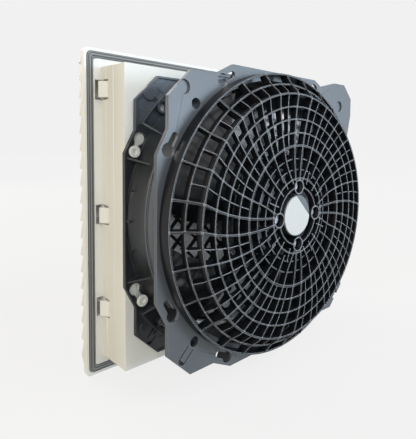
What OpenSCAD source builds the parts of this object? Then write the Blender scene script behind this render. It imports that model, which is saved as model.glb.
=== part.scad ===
// Cabinet filter fan: louvred inlet cover, filter mat, mounting frame and a mixed-flow fan
// with a domed finger guard. The origin is the middle of the cabinet's cut-out, on the
// panel's outer face. X points to the left as seen from inside the cabinet, Y points into
// the cabinet along the fan's axis, and Z points up.

/* [Mounting frame] */
// Width and height of the flange
flange_w = 323; // [300:1:340]
// Width and height of the collar that enters the cut-out
collar_w = 287; // [276:1:290]
// Depth of the collar behind the panel
collar_depth = 42.8; // [38:0.2:50]
// Wall thickness of the mouldings
wall = 2.5; // [2:0.1:3]
// Width of the foamed seal
gasket_w = 6.4; // [5:0.1:7]

/* [Louvre cover] */
// Depth of the cover in front of the panel
cover_depth = 25; // [22:0.5:30]
// Number of rain blades
blade_count = 17; // [12:1:20]
// Angle of the open cover, for a look at the model
cover_open = 0; // [0:5:85]

/* [Fan housing] */
// Distance over both flanges of the housing
housing_len = 56.6; // [50:0.2:64]
// Half width of the flange at its flat sides
flat_half = 145.8; // [144:0.1:148]
// Half width of the flange at its corner lobes
lobe_half = 134.8; // [133:0.1:137]
// Inner radius of the fan duct
duct_r = 136.4; // [135.8:0.1:137]
// Radius of the circle of keyholes and bolt holes
hole_circle_r = 150; // [149:0.1:150.5]
// Turn of the bayonet from locked to free, in degrees
bayonet_turn = 5.2; // [4.5:0.1:5.6]

/* [Finger guard] */
// Outer radius of the base ring
guard_r = 143.4; // [142:0.1:145]
// Height of the guard above the rear flange
guard_h = 32; // [28:0.5:36]
// Width of a main rib
rib_w = 2.0; // [1.6:0.1:2.4]
// Depth of the ribs
rib_depth = 6.5; // [5:0.1:8]
// Radius of the four motor bosses' circle
boss_circle_r = 29.1; // [28.6:0.1:29.6]

/* [Impeller and motor] */
// Radius of the blade tips
tip_r = 132.6; // [128:0.1:133.4]
// Number of impeller blades
fan_blades = 5; // [5:1:6]
// Angle of the first blade's leading edge at the hub
blade_start = -15; // [-36:1:36]
// Forward sweep of a blade from hub to tip, in degrees
blade_sweep = 28; // [10:1:34]
// Outer radius of the rotor can
rotor_r = 46; // [44:0.1:47]
// Radius of the shaft
shaft_r = 4; // [4:0.1:4]

/* [Hidden] */
$fn = 96;
eps = 0.01;

flange_half = flange_w / 2;
collar_half = collar_w / 2;
gasket_half = flange_half - 2.9;
panel_gap = 1.5;
flange_t = 4;
flange_front = -panel_gap - flange_t;
inlet_r = 133;

mat_half = collar_half - wall - 1.5;
mat_front = -5;
mat_t = 16.4;
grid_half = collar_half - wall - 1.5;
grid_t = 4;
grid_pitch = 18;
grid_back = mat_front + mat_t + grid_t;

front_z = collar_depth;
rear_z = front_z + housing_len;
mid_z = (front_z + rear_z) / 2;
plate_t = 3.2;
rim_t = 4.5;
rim_w = 2.2;
flat_len = 62;
step_at = 83.4;
corner_at = 110.9;

key_hole_r = 6;
key_slot_r = 3;
key_a = 26;
key_b = 59.9;
bolt_r = 4.8;
dimple_r = 6.4;
latch_r = 168.6;
gusset_a = 21.9;
gusset_b = 34.5;

shoulder_r = 121.8;
mid_ring_r = 131.5;
guard_top = rear_z + guard_h;
guard_rings = [37, 45.5, 57.5, 70.6, 83.3, 96.7, 109];
thick_ring_r = 70.6;
hub_ring_r = 28.8;
swirl_deg = 8;
rib_pitch = 79.3 / 6;
boss_r = 7.3;
screw_head_r = 4.4;
screw_seat = guard_top - 5.6;

motor_top = guard_top - 1.4;
motor_disc_z = 106;
motor_disc_top = 112;
bearing_r = 11;
bearing_w = 7;
front_bearing_z = 68;
rear_bearing_z = 104;
washer_t = 0.6;
circlip_z = rear_bearing_z + bearing_w + 0.1;
stator_r = 38;
can_front = 61;
can_rear = 104.4;
hub_front = 52;
hub_rear = 104;

terminal_r = 160;
terminal_z = 70;

stud_r = 2.6;
hinge_y = -158.2;
hinge_z = flange_front - 3.5;
pin_r = 1.5;
lug_w = 8;
lug_x = 112;
catch_x = 60;
tongue_w = 19;
tongue_at = [122, 0, -93];
slot_x0 = collar_half + 0.3;
slot_x1 = collar_half + 6.8;

// Turns a shape drawn with its depth along Z so that its depth lies along Y
module into_cabinet() {
  rotate([90, 0, 0]) mirror([0, 0, 1]) children();
}

module ring(r_out, r_in, z0, z1) {
  translate([0, 0, z0]) difference() {
    cylinder(r = r_out, h = z1 - z0);
    translate([0, 0, -1]) cylinder(r = r_in, h = z1 - z0 + 2);
  }
}

module disc(r, z0, z1) {
  translate([0, 0, z0]) cylinder(r = r, h = z1 - z0);
}

module rounded_square(half, r) {
  square([2 * half, 2 * (half - r)], center = true);
  square([2 * (half - r), 2 * half], center = true);
  for (x = [-1, 1], y = [-1, 1])
    translate([x * (half - r), y * (half - r)]) circle(r = r);
}

module four_sides() {
  for (k = [0 : 3]) rotate(90 * k) children();
}

// Louvre cover

blade_span = flange_half - 5;
cover_rim_t = 1.8;
blade_pitch = 2 * (flange_half - 12) / blade_count;
blade_top_z = -cover_depth + 6;
blade_t = 2.2;

function tooth(i) =
  let (top = flange_half - 12 - i * blade_pitch)
  [[top, blade_top_z], [top - blade_pitch + 0.4, -cover_depth]];

// Outline of a side cheek, in height and depth, with one tooth per blade
module cheek_outline() {
  teeth = [for (i = [0 : blade_count - 1]) for (p = tooth(i)) p];
  polygon(concat(
    [[blade_span, flange_front - 0.2], [blade_span, flange_front - 8],
     [flange_half - 11.6, -cover_depth]],
    teeth,
    [[-flange_half + 4, blade_top_z], [-flange_half + 4, flange_front - 0.2]]));
}

module rain_blade(i) {
  top = flange_half - 12 - i * blade_pitch;
  drop = blade_pitch - 0.4;
  slope = 6 / drop;
  polygon([
    [top + 3, blade_top_z + 3 * slope], [top - drop, -cover_depth],
    [top - drop, -cover_depth + 1.2], [top - drop + 1, -cover_depth + blade_t],
    [top + 3, blade_top_z + 3 * slope + blade_t]
  ]);
}

// Extrudes a height and depth outline across the cover
module across(x0, x1) {
  translate([x0, 0, 0]) rotate([90, 0, 90]) linear_extrude(x1 - x0) children();
}

module cover_shell() {
  difference() {
    translate([0, 0, flange_front - 0.2 - cover_rim_t]) linear_extrude(cover_rim_t) difference() {
      rounded_square(flange_half, 5);
      square(2 * (blade_span - wall - 1), center = true);
    }
    translate([-flange_half - 1, -flange_half - 1, hinge_z])
      cube([flange_w + 2, flange_half + 1 + hinge_y, 4]);
  }
  for (x = [-1, 1])
    across(x > 0 ? blade_span - wall : -blade_span, x > 0 ? blade_span : -blade_span + wall)
      cheek_outline();
  for (i = [0 : blade_count - 1])
    across(-blade_span + 1, blade_span - 1) rain_blade(i);
  across(-blade_span, blade_span) polygon([
    [blade_span, flange_front - 0.2], [blade_span, flange_front - 8],
    [flange_half - 11.6, -cover_depth], [flange_half - 13.1, -cover_depth + 0.8],
    [blade_span - wall, flange_front - 7.3], [blade_span - wall, flange_front - 0.2]
  ]);
  across(-blade_span, blade_span) polygon([
    [-flange_half + 12, blade_top_z], [-flange_half + 1.5, flange_front - 9],
    [-flange_half + 1.5, flange_front - 6], [-flange_half + 4, flange_front - 6],
    [-flange_half + 12, blade_top_z + 2.6]
  ]);
  for (x = [-80, 0, 80])
    across(x - 1.25, x + 1.25) polygon([
      [flange_half - 6, flange_front - 2], [flange_half - 6, flange_front - 7],
      [flange_half - 12, blade_top_z + 3], [-flange_half + 12, blade_top_z + 3],
      [-flange_half + 6, flange_front - 7], [-flange_half + 6, flange_front - 2]
    ]);
  for (x = [-1, 1], s = [-1, 1])
    translate([x * lug_x + s * (lug_w / 2 + 3.9) - 3.5, hinge_y, hinge_z])
      rotate([0, 90, 0]) cylinder(r = 3.2, h = 7);
  for (x = [-catch_x, catch_x]) {
    translate([x - 6, 145.6, flange_front - 6]) cube([12, 1.8, 9]);
    translate([x - 6, 145.6, flange_front - 6]) cube([12, 9, 1.8]);
  }
}

// The shell, notched round the two hinge lugs
module cover_body() {
  difference() {
    cover_shell();
    for (x = [-lug_x, lug_x])
      translate([x - lug_w / 2 - 0.4, -flange_half - 1, hinge_z - 4.5])
        cube([lug_w + 0.8, 7.4, 9]);
  }
}

module louvre_cover() {
  color("antiquewhite") into_cabinet()
    translate([0, hinge_y, hinge_z]) rotate([-cover_open, 0, 0])
      translate([0, -hinge_y, -hinge_z]) difference() {
        cover_body();
        for (x = [-1, 1])
          translate([x * lug_x - 13, hinge_y, hinge_z])
            rotate([0, 90, 0]) cylinder(r = pin_r, h = 26);
      }
}

module hinge_pins() {
  color("silver") into_cabinet() for (x = [-1, 1])
    translate([x * lug_x - 11, hinge_y, hinge_z])
      rotate([0, 90, 0]) cylinder(r = pin_r, h = 22);
}

// Filter

module filter_mat() {
  color("white") into_cabinet()
    translate([-mat_half, -mat_half, mat_front]) cube([2 * mat_half, 2 * mat_half, mat_t]);
}

module filter_grid() {
  bars = ceil(1.45 * grid_half / grid_pitch);
  color("cornsilk") into_cabinet() translate([0, 0, mat_front + mat_t]) linear_extrude(grid_t) {
    difference() {
      square(2 * grid_half, center = true);
      square(2 * grid_half - 10, center = true);
    }
    intersection() {
      square(2 * grid_half - 5, center = true);
      for (a = [45, -45], k = [-bars : bars])
        rotate(a) translate([0, k * grid_pitch])
          square([4 * grid_half, 2.4], center = true);
    }
  }
}

// Mounting frame

// One spring tongue, cut free at both sides, that grips the edge of the panel
module panel_tongue() {
  translate([collar_half - 0.6, -tongue_w / 2 + 1.8, 0]) rotate([90, 0, 0]) mirror([0, 0, 1])
    linear_extrude(tongue_w - 3.6) polygon([
      [-1.6, 12], [0.6, 12], [6.4, 3.8], [6.4, 2.6], [4.8, 2.6], [-1.6, 9]
    ]);
}

module base_shell() {
  difference() {
    union() {
      translate([0, 0, flange_front]) linear_extrude(flange_t)
        rounded_square(flange_half, 5);
      translate([0, 0, flange_front]) linear_extrude(8 - flange_front)
        square(2 * collar_half + 1.4, center = true);
      translate([0, 0, flange_front]) linear_extrude(22 - flange_front)
        square(2 * collar_half + 0.7, center = true);
      translate([0, 0, flange_front]) linear_extrude(collar_depth - flange_front)
        square(2 * collar_half, center = true);
    }
    translate([0, 0, flange_front - 1]) linear_extrude(collar_depth - flange_front - wall + 1)
      square(2 * (collar_half - wall), center = true);
    disc(inlet_r, collar_depth - 5, collar_depth + 1);
    translate([0, 0, -panel_gap - 0.9]) linear_extrude(2) difference() {
      rounded_square(gasket_half, 5);
      rounded_square(gasket_half - gasket_w, 3);
    }
    four_sides() for (y = tongue_at) {
      translate([collar_half - 3.2, y - tongue_w / 2, 1]) cube([10, tongue_w, 11]);
      translate([slot_x0, y - tongue_w / 2, flange_front - 1])
        cube([slot_x1 - slot_x0, tongue_w, 5 - flange_front]);
    }
    for (x = [-catch_x, catch_x])
      translate([x - 7, 144.6, flange_front - 1]) cube([14, 4, flange_t + 2]);
    for (a = bayonet_angles) rotate(a) translate([hole_circle_r, 0, 0])
      disc(stud_r, collar_depth - 5, collar_depth + 1);
  }
}

module base_frame() {
  color("antiquewhite") into_cabinet() {
    base_shell();
    four_sides() for (y = tongue_at) translate([0, y, 0]) panel_tongue();
    ring(inlet_r + 2.2, inlet_r, collar_depth - 9, collar_depth);
    four_sides() for (y = [-115, -40, 0, 40, 115])
      translate([collar_half - wall - 3.5, y - 1, grid_back])
        cube([4, 2, collar_depth - wall - grid_back + eps]);
    for (x = [-lug_x, lug_x]) difference() {
      union() {
        translate([x - lug_w / 2, hinge_y, hinge_z]) rotate([0, 90, 0])
          cylinder(r = 3.1, h = lug_w);
        translate([x - lug_w / 2, hinge_y - 3.1, hinge_z]) cube([lug_w, 6.2, 3.6]);
      }
      translate([x - lug_w / 2 - 1, hinge_y, hinge_z]) rotate([0, 90, 0])
        cylinder(r = pin_r + 0.06, h = lug_w + 2);
    }
  }
}

module panel_gasket() {
  color("dimgray") into_cabinet() {
    translate([0, 0, -panel_gap - 0.9]) linear_extrude(1.7) difference() {
      rounded_square(gasket_half, 5);
      rounded_square(gasket_half - gasket_w, 3);
    }
    translate([0, 0, -panel_gap + 0.8 - eps]) linear_extrude(panel_gap - 0.8 + eps) difference() {
      rounded_square(gasket_half - 1.9, 4);
      rounded_square(gasket_half - gasket_w + 1.9, 2);
    }
  }
}

// The four mushroom studs that the housing's keyholes hook on
bayonet_angles = [key_slot_end(0), key_slot_end(1), key_slot_end(0) + 180, key_slot_end(1) + 180];
function key_slot_end(i) =
  i == 0 ? 90 - key_b - bayonet_turn : -key_a - bayonet_turn;

module bayonet_pins() {
  color("cornsilk") into_cabinet() for (a = bayonet_angles)
    rotate(a) translate([hole_circle_r, 0, 0]) difference() {
      union() {
        disc(4.4, collar_depth - wall - 1.5, collar_depth - wall);
        disc(stud_r, collar_depth - wall - 0.5, collar_depth + plate_t + 0.4);
        disc(5.5, collar_depth + plate_t + 0.3, collar_depth + plate_t + 2.8);
      }
      disc(2.4, collar_depth + plate_t + 0.8, collar_depth + plate_t + 3);
    }
}

// Fan housing, made as two equal halves set back to back

function quarter(i) = [
  [flat_half - i, flat_len - 0.3 * i], [lobe_half - i, step_at + 0.3 * i],
  [lobe_half - i, corner_at - 0.4 * i], [corner_at - 0.4 * i, lobe_half - i],
  [step_at + 0.3 * i, lobe_half - i], [flat_len - 0.3 * i, flat_half - i]
];
ear_at = 130.2;
function ear_quarter(i) = [
  [flat_half - i, flat_len + 5 - 0.3 * i], [139.4 - i, 79.3 + 0.3 * i],
  [146.7 - i, 109], [146.7 - i, ear_at - 0.4 * i], [ear_at - 0.4 * i, 146.7 - i],
  [109, 146.7 - i], [79.3 + 0.3 * i, 139.4 - i], [flat_len + 5 - 0.3 * i, flat_half - i]
];
function turned(points, k) =
  k == 0 ? points : turned([for (p = points) [-p[1], p[0]]], k - 1);
function flange_points(i) = concat(
  turned(quarter(i), 0), turned(ear_quarter(i), 1),
  turned(quarter(i), 2), turned(quarter(i), 3));

// A keyhole: a round hole and a slot along the circle of holes
module keyhole(a) {
  slot = 2 * hole_circle_r * sin(bayonet_turn / 2);
  rotate(a) translate([hole_circle_r, 0]) rotate(90 + bayonet_turn / 2) {
    circle(r = key_hole_r);
    translate([0, -key_slot_r]) square([slot, 2 * key_slot_r]);
    translate([slot, 0]) circle(r = key_slot_r - 0.05);
  }
}

// Slits that leave a springy latch tongue in one lobe
module latch_cut() {
  rotate(-45) {
    for (s = [-1, 1]) translate([162.2, s * 3.6]) square([13, 1.3], center = true);
    difference() {
      translate([latch_r, 0]) circle(r = 4.3);
      translate([latch_r - 5, -2.9]) square([5.6, 5.8]);
    }
  }
}

// A rib in the corner of barrel and flange, drawn along X: its reach and its outer height
module gusset(reach, height) {
  translate([0, 0.9, 0]) rotate([90, 0, 0]) linear_extrude(1.8) polygon([
    [duct_r + 1, rear_z - plate_t + eps], [duct_r + reach, rear_z - plate_t + eps],
    [duct_r + reach, rear_z - height], [duct_r + 2.8, rear_z - 20], [duct_r + 1, rear_z - 20]
  ]);
}

// One half of the housing with its outer flange face at rear_z and its seam at mid_z
module housing_half() {
  difference() {
    union() {
      translate([0, 0, rear_z - plate_t]) linear_extrude(plate_t) polygon(flange_points(0));
      translate([0, 0, rear_z - rim_t]) linear_extrude(rim_t) difference() {
        polygon(flange_points(0));
        polygon(flange_points(rim_w));
      }
      rotate_extrude() polygon([
        [duct_r - 2, mid_z], [duct_r + 4, mid_z], [duct_r + 4, mid_z + 1.8],
        [duct_r + 2.6, mid_z + 1.8], [duct_r + 3.2, mid_z + 12],
        [duct_r + 5, mid_z + 20], [duct_r + 7.4, rear_z - plate_t + eps],
        [duct_r - 2, rear_z - plate_t + eps]
      ]);
      for (k = [0 : 3]) rotate(90 * k) {
        for (a = [gusset_b, 90 - gusset_b]) rotate(a) gusset(21, 9);
        for (a = [gusset_a, -gusset_a]) rotate(a) gusset(18, plate_t + 0.6);
        for (a = [-11.25, 0, 11.25]) rotate(a)
          translate([duct_r, -0.8, rear_z - 9]) cube([8, 1.6, 9 - plate_t + eps]);
        rotate(45) translate([hole_circle_r, 0, 0])
          disc(bolt_r + 2.4, rear_z - plate_t - 4, rear_z - plate_t + 1);
        if (k != 1) {
          rotate(45) translate([hole_circle_r + bolt_r + 1, -0.9, rear_z - plate_t - 4])
            cube([7.6, 1.8, 5]);
          for (a = [40.2, 49.8]) rotate(a) translate([163.2, 0, 0])
            disc(5, rear_z - plate_t - 0.5, rear_z - plate_t + 1);
        }
        intersection() {
          ring(158.4, 156.8, rear_z - 9, rear_z - plate_t + eps);
          translate([0, 0, mid_z]) linear_extrude(40)
            polygon([[0, 0], [220 * cos(34), 220 * sin(34)], [220 * cos(56), 220 * sin(56)]]);
        }
      }
      intersection() {
        for (k = [0, 2]) rotate(45 + 90 * k) translate([latch_r, 0, 0])
          disc(dimple_r + 1.6, rear_z - plate_t - 1.8, rear_z - plate_t + 1);
        translate([0, 0, mid_z]) linear_extrude(40) polygon(flange_points(rim_w / 2));
      }
    }
    for (k = [0 : 2]) rotate(45 + 90 * k) translate([latch_r, 0, 0])
      disc(dimple_r, rear_z - 2.2, rear_z + 1);
    disc(duct_r, mid_z - 1, rear_z + 1);
    translate([0, 0, rear_z - 20]) linear_extrude(22) {
      for (k = [0 : 3]) rotate(90 * k) {
        keyhole(key_a);
        keyhole(key_b);
      }
      latch_cut();
    }
    for (k = [0 : 3]) rotate(45 + 90 * k) translate([hole_circle_r, 0, 0])
      disc(bolt_r, rear_z - 20, rear_z + 2);
  }
}

module rear_housing() {
  color("dimgray") into_cabinet() housing_half();
}

// The same moulding turned over, with its large ear at the same corner
module front_housing() {
  color([0.12, 0.12, 0.13]) into_cabinet()
    translate([0, 0, 2 * mid_z]) rotate(270) rotate([180, 0, 0]) housing_half();
}

// Finger guard

// Swirl of the ribs, in degrees, at radius r
function swirl(r) =
  r >= shoulder_r ? 0 : -swirl_deg * (1 - pow(max(r - 40, 0) / (shoulder_r - 40), 1.6));
function polar(r, a) = [r * cos(a), r * sin(a)];

rib_stations = [24, 37, 57.5, 70.6, 83.3, 96.7, 109, 121.8, 131.5, 142.4];

// Plan of one swirled rib between the radii r0 and r1
module rib_plan(a, r0, r1, w) {
  radii = concat([r0], [for (r = rib_stations) if (r > r0 + 0.5 && r < r1 - 0.5) r], [r1]);
  function side(s) = [for (r = radii)
    polar(r, a + swirl(r)) + s * w / 2 * [-sin(a + swirl(r)), cos(a + swirl(r))]];
  left = side(1);
  right = side(-1);
  n = len(radii);
  polygon(concat(left, [for (i = [n - 1 : -1 : 0]) right[i]]));
}

module guard_rib_plans() {
  for (k = [0 : 3]) rotate(90 * k) {
    for (i = [0, 1]) rib_plan(10.7 * i, 35, guard_r - 1, rib_w + 1);
    for (i = [1 : 5]) {
      a = 10.7 + i * rib_pitch;
      rib_plan(a, thick_ring_r, guard_r - 1, i == 3 ? rib_w + 0.8 : rib_w);
      rib_plan(a, i == 3 ? hub_ring_r : 45.5, thick_ring_r, rib_w - 0.2);
    }
    for (i = [0 : 5]) rib_plan(10.7 + (i + 0.5) * rib_pitch, thick_ring_r, mid_ring_r, rib_w - 0.6);
    for (a = [29, 66]) rib_plan(a, 37, 45.5, rib_w);
  }
}

// Section through the dome's skin
module dome_section() {
  polygon([
    [24, guard_top], [thick_ring_r, guard_top], [96.7, guard_top - 0.5],
    [shoulder_r, guard_top - 2.5], [mid_ring_r, rear_z + 19.6], [guard_r - 0.2, rear_z + 12.7],
    [guard_r - 0.2, rear_z + 6], [137, rear_z + 7], [127, rear_z + 14],
    [shoulder_r - 4, guard_top - 2.5 - rib_depth], [96.7, guard_top - 0.6 - rib_depth],
    [thick_ring_r, guard_top - rib_depth], [24, guard_top - rib_depth]
  ]);
}

function dome_z(r) =
  guard_top - (r > 96.7 ? 0.5 + 2 * (r - 96.7) / 25.1 : r > 70.6 ? 0.5 * (r - 70.6) / 26.1 : 0);

module guard_ring(r, w) {
  rotate_extrude() translate([r - w / 2, dome_z(r) - rib_depth])
    square([w, rib_depth]);
}

module finger_guard() {
  color([0.2, 0.2, 0.21]) into_cabinet() difference() {
    union() {
      intersection() {
        translate([0, 0, rear_z]) linear_extrude(guard_h + 1) guard_rib_plans();
        rotate_extrude() dome_section();
      }
      for (r = guard_rings) guard_ring(r, r == thick_ring_r ? 3.2 : rib_w - 0.2);
      guard_ring(hub_ring_r, 1.8);
      guard_ring(shoulder_r, rib_w + 0.4);
      ring(mid_ring_r + 1, mid_ring_r - 1, rear_z + 14, rear_z + 19.4);
      ring(guard_r, guard_r - 2.4, rear_z, rear_z + 12.7);
      four_sides() translate([boss_circle_r, 0, 0]) disc(boss_r, motor_disc_top, guard_top);
    }
    four_sides() translate([boss_circle_r, 0, 0]) {
      disc(boss_r - 1.5, screw_seat, guard_top + 1);
      disc(2.2, motor_disc_top - 1, screw_seat + 1);
    }
    disc(21.4, motor_disc_top - 1, guard_top + 1);
  }
}

module motor_screws() {
  color("silver") into_cabinet() four_sides() translate([boss_circle_r, 0, 0]) difference() {
    union() {
      disc(screw_head_r, screw_seat, screw_seat + 2.6);
      disc(2, motor_disc_z + 1, screw_seat + 0.1);
    }
    translate([0, 0, screw_seat + 2.6]) for (a = [20, 110])
      rotate(a) cube([4.6, 1.1, 2.6], center = true);
  }
}

// Motor

module motor_flange() {
  color("darkgray") into_cabinet() difference() {
    union() {
      disc(44, motor_disc_z, motor_disc_top);
      disc(20.8, motor_disc_top - 1, motor_top - 0.6);
      disc(bearing_r + 2.5, can_front + 6, motor_disc_z + 1);
    }
    disc(bearing_r, can_front + 5, front_bearing_z + bearing_w);
    disc(bearing_r - 1.5, can_front + 5, motor_top - 5);
    disc(bearing_r, rear_bearing_z - washer_t, motor_disc_top);
    four_sides() translate([boss_circle_r, 0, 0]) disc(2, motor_disc_z + 1, motor_disc_top + 1);
  }
}

module blank_label() {
  color("white") into_cabinet() translate([0, 0, motor_top - 0.6]) linear_extrude(0.6)
    difference() {
      circle(r = 19.8);
      rotate(135) translate([12.8, -25]) square(50);
    }
}

module stator_core() {
  color("slategray") into_cabinet() translate([0, 0, 78]) linear_extrude(20) difference() {
    circle(r = stator_r);
    circle(r = bearing_r + 2.5);
    for (k = [0 : 11]) rotate(30 * k) {
      translate([27, 0]) square([12, 7], center = true);
      translate([35, 0]) square([8, 2.4], center = true);
    }
  }
}

module stator_windings() {
  color("chocolate") into_cabinet() {
    ring(34, 18, 70, 78);
    ring(34, 18, 98, 104);
    for (k = [0 : 11]) rotate(30 * k) translate([27, 0, 88]) cube([11.4, 6.4, 20.4], center = true);
  }
}

module winding_board() {
  color("seagreen") into_cabinet() ring(34, bearing_r + 3, 104, 105.6);
}

module bearing(z) {
  ring(bearing_r, bearing_r - 2.2, z, z + bearing_w);
  ring(shaft_r + 2, shaft_r + 0.03, z, z + bearing_w);
  ring(bearing_r - 2, shaft_r + 1.9, z + 0.6, z + bearing_w - 0.6);
}

module front_bearing() {
  color("lightsteelblue") into_cabinet() bearing(front_bearing_z);
}

module rear_bearing() {
  color("lightsteelblue") into_cabinet() bearing(rear_bearing_z);
}

module preload_washer() {
  color("silver") into_cabinet()
    ring(bearing_r - 0.3, bearing_r - 2.2, rear_bearing_z - washer_t, rear_bearing_z);
}

module terminal_block() {
  color("black") into_cabinet() rotate(135) difference() {
    translate([terminal_r, -19, terminal_z]) cube([22, 38, rear_z - plate_t - terminal_z]);
    for (y = [-11, 0, 11]) {
      translate([terminal_r + 5, y - 3.5, terminal_z - 1]) cube([10, 7, 9]);
      translate([terminal_r + 14, y, terminal_z + 16]) rotate([0, 90, 0]) cylinder(r = 2.2, h = 9);
    }
  }
}

module terminal_screws() {
  color("silver") into_cabinet() rotate(135) for (y = [-11, 0, 11])
    translate([terminal_r + 14, y, terminal_z + 16]) rotate([0, 90, 0]) difference() {
      cylinder(r = 2.2, h = 7);
      translate([-2.4, -0.4, 6.2]) cube([4.8, 0.8, 1]);
    }
}

// Rotor and impeller

function hub_r(s) = 54 + 12 * s;
blade_n = 8;
span_n = 6;

// A point on a blade's mean surface: s runs from the leading to the trailing edge, t from
// the hub to the tip, and side is 1 or -1 for the two faces
function blade_point(s, t, side) =
  let (
    r = hub_r(s) - 2 + t * (tip_r - hub_r(s) + 2),
    z0 = 55 - 2 * t,
    z1 = 102 - 6 * t,
    camber = 5 * sin(180 * s),
    half_t = 0.7 + 1.4 * (1 - 0.5 * t) * sqrt(sin(180 * min(max(s, 0.02), 0.98))),
    a = blade_start + blade_sweep * t + 52 * s,
    z = z0 + (z1 - z0) * s + camber + side * half_t
  ) [r * cos(a), r * sin(a), z];

module fan_blade() {
  top = [for (j = [0 : span_n]) for (i = [0 : blade_n]) blade_point(i / blade_n, j / span_n, 1)];
  bottom = [for (j = [0 : span_n]) for (i = [0 : blade_n]) blade_point(i / blade_n, j / span_n, -1)];
  row = blade_n + 1;
  m = row * (span_n + 1);
  faces_top = [for (j = [0 : span_n - 1]) for (i = [0 : blade_n - 1]) for (f = [
    [j * row + i, j * row + i + 1, (j + 1) * row + i],
    [j * row + i + 1, (j + 1) * row + i + 1, (j + 1) * row + i]]) f];
  faces_bottom = [for (f = faces_top) [m + f[0], m + f[2], m + f[1]]];
  rim = concat(
    [for (i = [0 : blade_n]) i],
    [for (j = [1 : span_n]) j * row + blade_n],
    [for (i = [blade_n - 1 : -1 : 0]) span_n * row + i],
    [for (j = [span_n - 1 : -1 : 1]) j * row]);
  n = len(rim);
  faces_edge = [for (k = [0 : n - 1]) for (f = [
    [rim[k], m + rim[k], rim[(k + 1) % n]],
    [rim[(k + 1) % n], m + rim[k], m + rim[(k + 1) % n]]]) f];
  polyhedron(points = concat(top, bottom), faces = concat(faces_top, faces_bottom, faces_edge));
}

module impeller() {
  color([0.14, 0.14, 0.15]) into_cabinet() {
    rotate_extrude() polygon([
      [0, hub_front], [30, hub_front], [44, hub_front + 1.5], [51, hub_front + 6],
      [66, hub_rear], [62, hub_rear], [rotor_r + 3, hub_front + 30], [rotor_r, hub_front + 29],
      [rotor_r, can_front], [0, can_front]
    ]);
    for (k = [0 : fan_blades - 1]) rotate(k * 360 / fan_blades) fan_blade();
  }
}

module rotor_can() {
  color("gray") into_cabinet() difference() {
    rotate_extrude() polygon([
      [0, can_front], [rotor_r, can_front], [rotor_r, can_rear], [rotor_r - 2.6, can_rear],
      [rotor_r - 2.6, can_front + 3], [7, can_front + 3], [6, front_bearing_z - 0.2],
      [0, front_bearing_z - 0.2]
    ]);
    disc(shaft_r, can_front - 1, front_bearing_z);
  }
}

module magnet_ring() {
  color("darkslategray") into_cabinet() ring(rotor_r - 2.6, stator_r + 1, 76, 100);
}

module shaft() {
  color("lightgray") into_cabinet() difference() {
    disc(shaft_r, can_front, motor_disc_top + 4);
    ring(shaft_r + 1, shaft_r - 0.5, circlip_z, circlip_z + 1);
  }
}

module circlip() {
  color("silver") into_cabinet() difference() {
    ring(shaft_r + 2.2, shaft_r - 0.5, circlip_z, circlip_z + 1);
    translate([0, -1.4, circlip_z - 1]) cube([10, 2.8, 3]);
  }
}

louvre_cover();
filter_mat();
base_frame();
filter_grid();
panel_gasket();
hinge_pins();
bayonet_pins();
front_housing();
rear_housing();
finger_guard();
motor_screws();
motor_flange();
blank_label();
stator_core();
stator_windings();
winding_board();
front_bearing();
rear_bearing();
preload_washer();
terminal_block();
terminal_screws();
impeller();
rotor_can();
magnet_ring();
shaft();
circlip();
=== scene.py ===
import math

import bmesh
import bpy
from mathutils import Matrix, Vector


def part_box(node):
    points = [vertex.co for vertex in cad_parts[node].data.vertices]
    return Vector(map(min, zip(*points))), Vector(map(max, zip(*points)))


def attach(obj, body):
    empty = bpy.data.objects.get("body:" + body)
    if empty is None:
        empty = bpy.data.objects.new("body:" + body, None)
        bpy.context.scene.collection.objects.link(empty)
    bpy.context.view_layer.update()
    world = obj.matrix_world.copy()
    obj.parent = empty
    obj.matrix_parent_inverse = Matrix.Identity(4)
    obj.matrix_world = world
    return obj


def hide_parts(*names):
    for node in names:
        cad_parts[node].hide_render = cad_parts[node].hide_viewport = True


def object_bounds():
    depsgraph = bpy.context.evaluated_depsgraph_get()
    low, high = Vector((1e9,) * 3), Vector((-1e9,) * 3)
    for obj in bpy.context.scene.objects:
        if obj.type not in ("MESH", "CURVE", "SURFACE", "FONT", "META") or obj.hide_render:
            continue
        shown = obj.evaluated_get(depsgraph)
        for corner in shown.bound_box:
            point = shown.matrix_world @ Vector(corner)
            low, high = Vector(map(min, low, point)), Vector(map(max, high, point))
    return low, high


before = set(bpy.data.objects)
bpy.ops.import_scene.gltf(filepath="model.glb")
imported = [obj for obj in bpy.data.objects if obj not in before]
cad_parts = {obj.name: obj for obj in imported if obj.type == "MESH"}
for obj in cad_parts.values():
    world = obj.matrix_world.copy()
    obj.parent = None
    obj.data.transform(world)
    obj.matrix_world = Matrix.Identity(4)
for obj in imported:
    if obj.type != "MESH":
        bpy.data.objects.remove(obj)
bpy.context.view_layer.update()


# Mounting frame
# One injection moulding in cream ABS: the square flange, the collar that enters the
# cabinet and the plate that carries the fan. Its edges have the small radius of the mould.

MM = 0.001


def group_tree(name, inputs, outputs):
    tree = bpy.data.node_groups.new(name, "ShaderNodeTree")
    for label, value in inputs:
        socket = tree.interface.new_socket(label, in_out="INPUT", socket_type="NodeSocketFloat")
        socket.default_value = value
    for label in outputs:
        tree.interface.new_socket(label, in_out="OUTPUT", socket_type="NodeSocketFloat")
    return tree, tree.nodes.new("NodeGroupInput"), tree.nodes.new("NodeGroupOutput")


def add_node(tree, kind, **settings):
    made = tree.nodes.new(kind)
    for key, value in settings.items():
        setattr(made, key, value)
    return made


def object_coordinates(tree):
    return add_node(tree, "ShaderNodeTexCoord").outputs["Object"]


def noise_of(tree, scale, detail, coordinates):
    noise = add_node(tree, "ShaderNodeTexNoise")
    noise.inputs["Scale"].default_value = scale
    noise.inputs["Detail"].default_value = detail
    tree.links.new(coordinates, noise.inputs["Vector"])
    return noise


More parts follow.
